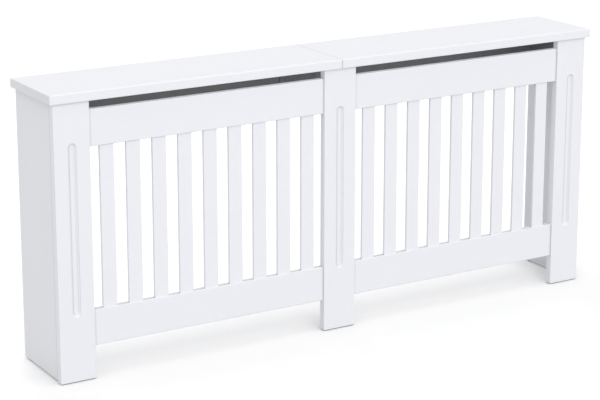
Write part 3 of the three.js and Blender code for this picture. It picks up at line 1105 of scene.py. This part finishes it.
@dataclass
class GroovedRails:
    """The four rails, each with a slat groove in one edge and a bore for the cam at each end."""

    paint: Material
    arris: float = 0.002
    arris_steps: int = 6
    groove_width: float = 0.0086
    groove_depth: float = 0.010
    groove_ease: float = 0.0004
    bore_radius: float = 0.0078
    bore_floor: float = 0.0035
    bore_sides: int = 32
    end_gap: float = 0.0007
    shade_full: float = 0.004
    shade_end: float = 0.0065
    lower_arris_shade: float = 1.0

    def build(self) -> None:
        """Makes the four rails."""
        for side, (height, groove_up) in product(INWARD, (("top", False), ("bottom", True))):
            node = f"{height}_rail_{side}"
            name = f"grooved_{node}"
            block = Block.of_node(node)
            mesh = to_mesh(self._rail(block, groove_up), name)
            bores = [
                self._bore(block, f"cam_nut_{height}_{side}_{end}") for end in ("inner", "outer")]
            place_piece(name, settle(mesh, bores), self.paint, [node])

    def _rail(self, block: Block, groove_up: bool) -> Draft:
        """The rail's section drawn out along X.

        Args:
            block: the rail's box.
            groove_up: whether the slat groove is in the upper edge.

        Returns:
            The mesh, which the caller frees.
        """
        mesh = bmesh.new()
        arris = mesh.verts.layers.float.new(ARRIS_HIGHLIGHT_ATTRIBUTE)
        painted_shade = mesh.verts.layers.float.new(PAINTED_SHADE_ATTRIBUTE)
        section = self._section(block.size.y, block.size.z, groove_up)
        rows = []
        for x, film_and_shade in self._stations(block):
            rows.append([])
            for across, down, worn, held in section:
                z = block.high.z - down if groove_up else block.low.z + down
                vertex = mesh.verts.new((x, block.low.y + across, z))
                vertex[arris] = worn
                # Painted shade beside the posts and under the arris that looks down.
                vertex[painted_shade] = max(film_and_shade, held)
                rows[-1].append(vertex)
        skin_rings(mesh, rows)
        mesh.faces.new(rows[0])
        mesh.faces.new(rows[-1])
        turn_outwards(mesh)
        return mesh

    def _stations(self, block: Block) -> list[Span]:
        """Places along the rail, with the painted shade beside the posts.

        Args:
            block: the rail's box.

        Returns:
            Pairs of the place and the painted shade there, from left to right.
        """
        steps = ((self.end_gap, 1.0), (self.shade_full, 1.0), (self.shade_end, 0.0))
        left = [(block.low.x + reach, film_and_shade) for reach, film_and_shade in steps]
        return left + [(block.high.x - reach, film_and_shade) for reach, film_and_shade in reversed(steps)]

    def _section(
        self, thickness: float, height: float, groove_up: bool
    ) -> list[tuple[float, float, float, float]]:
        """The section, measured back from the face and away from the grooved edge.

        Args:
            thickness: the rail's thickness.
            height: its height.
            groove_up: whether the grooved edge is the upper one.

        Returns:
            Points as distance from the face, distance from the grooved edge, painted highlight,
            which the arris that looks up has, and painted shade, which the one that looks down has.
        """
        near = (thickness - self.groove_width) / 2
        far = near + self.groove_width
        ease = self.groove_ease
        points = []
        for plain_edge, step in product((True, False), range(self.arris_steps + 1)):
            looks_up = plain_edge != groove_up
            angle = math.pi / 2 * step / self.arris_steps
            turn = self.arris * (1 - math.sin(angle)), self.arris * (1 - math.cos(angle))
            from_face, from_edge = turn if plain_edge else turn[::-1]
            down = height - from_edge if plain_edge else from_edge
            middle = math.sin(2 * angle)
            # The arris that looks up gets a painted highlight, the one that looks down gets painted
            # shade.
            marks = (middle, 0.0) if looks_up else (0.0, self.lower_arris_shade * middle)
            points.append((from_face, down, *marks))
        back = (
            (near - ease, 0.0), (near, ease), (near, self.groove_depth), (far, self.groove_depth),
            (far, ease), (far + ease, 0.0), (thickness, 0.0), (thickness, height),
        )
        return points + [(across, down, 0.0, 0.0) for across, down in back]

    def _bore(self, rail: Block, cam_node: str) -> Mesh:
        """The cutter for one cam's blind bore, open at the rail's back.

        Args:
            rail: the rail's box.
            cam_node: the cam's construction node.

        Returns:
            The closed cutter.
        """
        cam = Block.of_node(cam_node).centre
        start = rail.low.y + self.bore_floor
        end = rail.high.y + CUT_MARGIN
        centre = Matrix.Translation((cam.x, (start + end) / 2, cam.z))
        mesh = bmesh.new()
        bmesh.ops.create_cone(
            mesh, cap_ends=True, segments=self.bore_sides, radius1=self.bore_radius,
            radius2=self.bore_radius, depth=end - start,
            matrix=centre @ Matrix.Rotation(math.pi / 2, 4, "X"),
        )
        return to_mesh(mesh, "cam_bore")


# --- slats


@dataclass
class Slats:
    """The upright slats of both bays, standing in the rails' grooves.

    They read a little wider in the photograph than the construction solids, so each side grows.
    """

    paint: Material
    count: int = 9
    side_growth: float = 0.001
    arris: float = 0.001
    arris_steps: int = 4

    def build(self) -> None:
        """Makes one row of slats for each bay."""
        tree = self._tree()
        for side in INWARD:
            nodes = [f"slat_{side}_{number}" for number in range(1, self.count + 1)]
            first = Block.of_node(nodes[0])
            last = Block.of_node(nodes[-1])
            mesh = run_tree(tree, bpy.data.meshes.new("slat_base"), {
                "Count": self.count,
                "Pitch": (last.centre.x - first.centre.x) / (self.count - 1),
                "First Foot": Vector((first.centre.x, first.centre.y, first.low.z)),
                "Width": first.size.x + 2 * self.side_growth,
                "Thickness": first.size.y,
                "Height": first.size.z,
                "Arris": self.arris,
                "Arris Steps": self.arris_steps,
                "Finish": self.paint,
            })
            place_piece(f"slats_{side}", settle(mesh, []), self.paint, nodes)

    @staticmethod
    def _tree() -> Tree:
        """The Geometry Nodes tree that stands a row of rounded slats at an even pitch.

        Returns:
            The tree.
        """
        row = GroupMaker("slat_row", {
            "Geometry": "Geometry", "Count": "Int", "Pitch": "Float", "First Foot": "Vector",
            "Width": "Float", "Thickness": "Float", "Height": "Float", "Arris": "Float",
            "Arris Steps": "Int", "Finish": "Material",
        }, GEOMETRY_TREE)
        section = row.add("GeometryNodeCurvePrimitiveQuadrilateral", {"mode": "RECTANGLE"}, {
            "Width": row["Width"], "Height": row["Thickness"],
        })
        rounded = row.add("GeometryNodeFilletCurve", {"mode": "POLY"}, {
            "Curve": section, "Radius": row["Arris"], "Count": row["Arris Steps"],
        })
        rise = row.add("ShaderNodeCombineXYZ", inputs={"Z": row["Height"]})
        spine = row.add("GeometryNodeCurvePrimitiveLine", {"mode": "POINTS"}, {"End": rise})
        slat = row.add("GeometryNodeCurveToMesh", inputs={
            "Curve": spine, "Profile Curve": rounded, "Fill Caps": True,
        })
        stride = row.add("ShaderNodeCombineXYZ", inputs={"X": row["Pitch"]})
        feet = row.add("GeometryNodeMeshLine", {"mode": "OFFSET"}, {
            "Count": row["Count"], "Start Location": row["First Foot"], "Offset": stride,
        })
        return row.close_instances({"Points": feet, "Instance": slat})


# --- hardware


@dataclass(frozen=True)
class Seat:
    """Where a screw is driven, and the way that its head faces."""

    place: Vector
    way: Vector


@dataclass
class Screws:
    """The small pan-head screws of plates and brackets, with a cross recess in each head."""

    zinc: Material
    black_zinc: Material
    head_radius: float = 0.0042
    head_height: float = 0.0022
    seat_share: float = 0.96
    rim_share: float = 0.3
    shank_radius: float = 0.0021
    shank_length: float = 0.009
    recess_arm: float = 0.0024
    recess_width: float = 0.0009
    recess_depth: float = 0.0015
    dome_steps: int = 5
    sides: int = 20
    hole_to_edge: float = 0.012
    bracket_leg_middle: float = 0.0195
    bracket_thickness: float = 0.002

    def build(self) -> None:
        """Drives every screw."""
        template = stand("screw_template", self._screw())
        tree = self._tree()
        for name, finish, seats in (
            ("joining_plate", self.zinc, self._plate_screws("shelf_joining_plate", Axis.Z)),
            ("back_splice", self.black_zinc, self._plate_screws("back_rail_splice", Axis.Y)),
            ("wall_brackets", self.zinc, self._bracket_screws()),
        ):
            values = {"Screw": template, "Scale": 1.0, "Finish": finish}
            mesh = run_tree(tree, self._points(seats), values)
            place_piece(f"screws_{name}", settle(mesh, []), finish, [])
        bpy.data.objects.remove(template)

    @staticmethod
    def _tree() -> Tree:
        """The Geometry Nodes tree that sets a screw on each point, turned to the way it faces.

        Returns:
            The tree.
        """
        driven = GroupMaker("screw_set", {
            "Geometry": "Geometry", "Screw": "Object", "Scale": "Float", "Finish": "Material",
        }, GEOMETRY_TREE)
        facing = driven.add("GeometryNodeInputNamedAttribute", {"data_type": "FLOAT_VECTOR"}, {
            "Name": FACING_ATTRIBUTE,
        })
        turn = driven.add("FunctionNodeAlignRotationToVector", {"axis": "Z"}, {
            "Vector": facing.outputs["Attribute"],
        })
        template = driven.add("GeometryNodeObjectInfo", inputs={"Object": driven["Screw"]})
        return driven.close_instances({
            "Points": driven["Geometry"], "Instance": template.outputs["Geometry"],
            "Rotation": turn, "Scale": driven["Scale"],
        })

    def _screw(self) -> Mesh:
        """One screw along Z, its head's underside at the origin and its recess looking up.

        Returns:
            The mesh.
        """
        profile = [
            (0.0, -self.shank_length), (self.shank_radius, -self.shank_length),
            (self.shank_radius, 0.0), (self.head_radius * self.seat_share, 0.0),
        ]
        for step in range(self.dome_steps):
            angle = math.pi / 2 * step / self.dome_steps
            up = self.rim_share + (1.0 - self.rim_share) * math.sin(angle)
            profile.append((self.head_radius * math.cos(angle), self.head_height * up))
        profile.append((0.0, self.head_height))
        mesh = bmesh.new()
        points = [mesh.verts.new((across, 0.0, up)) for across, up in profile]
        edges = [mesh.edges.new(pair) for pair in zip(points, points[1:])]
        bmesh.ops.spin(
            mesh, geom=points + edges, cent=(0, 0, 0), axis=(0, 0, 1), angle=2 * math.pi,
            steps=self.sides, use_merge=True,
        )
        bmesh.ops.remove_doubles(mesh, verts=list(mesh.verts), dist=TOUCHING)
        turn_outwards(mesh)
        top = self.head_height + CUT_MARGIN / 2
        foot = self.head_height - self.recess_depth
        arms = []
        long, short = self.recess_arm, self.recess_width / 2
        for across, along in ((long, short), (short, long)):
            arm = Block(Vector((-across, -along, foot)), Vector((across, along, top)))
            arms.append(to_mesh(arm.draft(), "recess"))
        return settle(to_mesh(mesh, "screw"), arms)

    @staticmethod
    def _points(seats: list[Seat]) -> Mesh:
        """A mesh of loose points that carry the way each screw faces.

        Args:
            seats: the screws' seats.

        Returns:
            The mesh.
        """
        mesh = bpy.data.meshes.new("screw_points")
        mesh.from_pydata([seat.place for seat in seats], [], [])
        facing = mesh.attributes.new(FACING_ATTRIBUTE, "FLOAT_VECTOR", "POINT")
        for point, seat in zip(facing.data, seats):
            point.vector = seat.way
        return mesh

    def _plate_screws(self, node: str, axis: Axis) -> list[Seat]:
        """Four screws at a plate's corners, on the face that looks back along an axis.

        Args:
            node: the plate's construction node.
            axis: the axis that the plate lies across.

        Returns:
            Their seats.
        """
        plate = Block.of_node(node)
        choices = [
            (low,) if index == axis.value else (low + self.hole_to_edge, high - self.hole_to_edge)
            for index, (low, high) in enumerate(zip(plate.low, plate.high))
        ]
        return [Seat(Vector(place), axis.facing(-1.0)) for place in product(*choices)]

    def _bracket_screws(self) -> list[Seat]:
        """One screw through each bracket's leg on the side panel.

        Returns:
            Their seats.
        """
        seats = []
        for (side, inward), height in product(INWARD.items(), ("low", "high")):
            bracket = Block.of_node(f"wall_bracket_{height}_{side}")
            flange = bracket.low.x if inward > 0 else bracket.high.x
            place = Vector((
                flange + inward * self.bracket_thickness,
                bracket.high.y - self.bracket_leg_middle,
                bracket.centre.z,
            ))
            seats.append(Seat(place, Axis.X.facing(inward)))
        return seats


@dataclass
class Fittings:
    """The steel and plastic pieces that keep their construction solids."""

    finishes: FinishShelf

    def dress(self, nodes: dict[str, bpy.types.Object]) -> None:
        """Gives each construction node its finish.

        Args:
            nodes: the construction nodes, by name.
        """
        finishes = {
            "cam_nut": self.finishes.cam,
            "cam_bolt": self.finishes.zinc,
            "wall_bracket": self.finishes.zinc,
            "shelf_joining_plate": self.finishes.zinc,
            "back_rail_splice": self.finishes.black_zinc,
            "shelf_block": self.finishes.block,
            "glide": self.finishes.glide,
            "": self.finishes.paint,
        }
        for name, node in nodes.items():
            node.data.materials.clear()
            node.data.materials.append(
                next(finish for start, finish in finishes.items() if name.startswith(start)))
        LOG.info("dressed %d construction nodes", len(nodes))


# --- studio


@dataclass(frozen=True)
class SoftBox:
    """One large area lamp that looks at the cabinet."""

    name: str
    place: Point
    width: float
    height: float
    power: float
    lights_only: bool = False


@dataclass(frozen=True)
class FloorLift:
    """How the floor's own light changes between two depths, along Y."""

    reach: Span
    light: Span


@dataclass
class Studio:
    """The pale floor, the even light and the camera at the photograph's angle."""

    camera_place: Point = (-2.7100, -4.3909, 1.8190)
    yaw: float = 31.122
    pitch: float = -14.138
    lens: float = 114.5
    sensor_width: float = 36.0
    shift_y: float = -0.1
    far_clip: float = 100.0
    floor_reach: float = 14.0
    fill_front: float = 1.16
    fill_back: float = 0.47
    floor_bounce: float = 0.62
    floor_shade: float = 0.80
    contact_reach: float = 0.09
    contact_samples: int = 16
    lifts: tuple[FloorLift, ...] = (
        FloorLift((-0.80, -0.30), (0.06, 0.0)),
        FloorLift((-0.22, -0.05), (0.19, 0.262)),
        FloorLift((-0.03, 0.11), (0.0, 0.148)),
    )
    aim: Point = (0.0, 0.0, 0.4)
    lamps: tuple[SoftBox, ...] = (
        SoftBox("key_softbox", (-2.85, -16.13, 11.87), 8.0, 8.0, 645.0),
        SoftBox("top_softbox", (-1.0, -0.5, 9.0), 6.0, 4.0, 61.0),
        SoftBox("back_softbox", (3.0, 13.0, 1.5), 8.0, 2.0, 400.0, lights_only=True),
    )

    def build(self) -> None:
        """Makes the floor, the world, the lamps and the camera."""
        self._floor()
        self._world()
        for lamp in self.lamps:
            self._lamp(lamp)
        self._camera()
        bpy.context.scene.view_settings.view_transform = "Standard"

    def _floor(self) -> None:
        """A wide pale floor that keeps the cabinet's shadow, and that is clear from below."""
        mesh = bmesh.new()
        bmesh.ops.create_grid(mesh, x_segments=1, y_segments=1, size=self.floor_reach)
        floor = stand("studio_floor", to_mesh(mesh, "studio_floor"))
        maker = MaterialMaker("studio_white")
        seen = self._seen_directly(maker)
        shade = maker.mix(seen, self.floor_bounce, self.floor_shade, "FLOAT")
        paper = maker.add("ShaderNodeBsdfDiffuse", inputs={"Color": shade})
        depth = maker.part(maker.place(), "Y")
        light = 0.0
        for lift in self.lifts:
            risen = maker.ramp(depth, lift.reach, lift.light, "SMOOTHSTEP")
            light = maker.math("ADD", risen, light)
        # Painted light: the floor's own glow, seen only directly, rises towards and behind the
        # cabinet, and ambient occlusion dims it near the feet as a painted contact shadow.
        contact_shadow = maker.add("ShaderNodeAmbientOcclusion", {"samples": self.contact_samples}, {
            "Distance": self.contact_reach,
        })
        held = maker.math("MULTIPLY", contact_shadow.outputs["AO"], light)
        strength = maker.math("MULTIPLY", seen, held)
        glow = maker.add("ShaderNodeEmission", inputs={"Strength": strength})
        one_way = maker.add("ShaderNodeMixShader", inputs={
            0: maker.add("ShaderNodeNewGeometry").outputs["Backfacing"],
            1: maker.add("ShaderNodeAddShader", inputs={0: paper, 1: glow}),
            2: maker.add("ShaderNodeBsdfTransparent"),
        })
        maker.add("ShaderNodeOutputMaterial", inputs={"Surface": one_way})
        floor.data.materials.append(maker.material)

    @staticmethod
    def _seen_directly(maker: TreeMaker) -> Socket:
        """1 for rays from the camera or off polished surfaces, which see the white studio.

        Args:
            maker: the tree to add to.

        Returns:
            The share of white.
        """
        path = maker.add("ShaderNodeLightPath").outputs
        seen = maker.math("MAXIMUM", path["Is Camera Ray"], path["Is Glossy Ray"])
        return maker.math("MAXIMUM", seen, path["Is Transmission Ray"])

    def _world(self) -> None:
        """An even surround: white where it is seen, and brighter from the front where it lights."""
        world = bpy.data.worlds.new("studio_surround")
        bpy.context.scene.world = world
        world.use_nodes = True
        world.node_tree.nodes.clear()
        maker = TreeMaker(world.node_tree)
        depth = maker.part(maker.add("ShaderNodeTexCoord").outputs["Generated"], "Y")
        fill = maker.ramp(depth, (-1.0, 1.0), (self.fill_front, self.fill_back))
        backdrop = maker.add("ShaderNodeBackground", inputs={
            "Color": (1.0, 1.0, 1.0, 1.0),
            "Strength": maker.mix(self._seen_directly(maker), fill, 1.0, "FLOAT"),
        })
        maker.add("ShaderNodeOutputWorld", inputs={"Surface": backdrop})

    def _lamp(self, box: SoftBox) -> None:
        """Hangs one softbox and turns it to the cabinet.

        Args:
            box: the softbox.
        """
        light = bpy.data.lights.new(box.name, "AREA")
        light.shape = "RECTANGLE"
        light.size = box.width
        light.size_y = box.height
        light.energy = box.power
        lamp = stand(box.name, light)
        lamp.visible_camera = lamp.visible_glossy = not box.lights_only
        lamp.location = box.place
        way = Vector(self.aim) - Vector(box.place)
        lamp.rotation_euler = way.to_track_quat("-Z", "Y").to_euler()

    def _camera(self) -> None:
        """Sets the camera that matches the photograph's framing."""
        data = bpy.data.cameras.new("photo_camera")
        data.sensor_width = self.sensor_width
        data.lens = self.lens
        data.shift_y = self.shift_y
        data.clip_end = self.far_clip
        camera = stand("photo_camera", data)
        camera.location = self.camera_place
        camera.rotation_euler = (math.radians(90.0 + self.pitch), 0.0, math.radians(-self.yaw))
        bpy.context.scene.camera = camera


# --- build


def main() -> None:
    logging.basicConfig(level=logging.INFO, format="%(name)s: %(message)s")
    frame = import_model()
    Studio().build()
    finishes = FinishShelf()
    Fittings(finishes).dress(frame["nodes"])
    PlainBoards(finishes.paint).build()
    FlutedPosts(finishes.paint).build()
    GroovedRails(finishes.paint).build()
    Slats(finishes.paint).build()
    Screws(finishes.zinc, finishes.black_zinc).build()


if __name__ == "__main__":
    main()
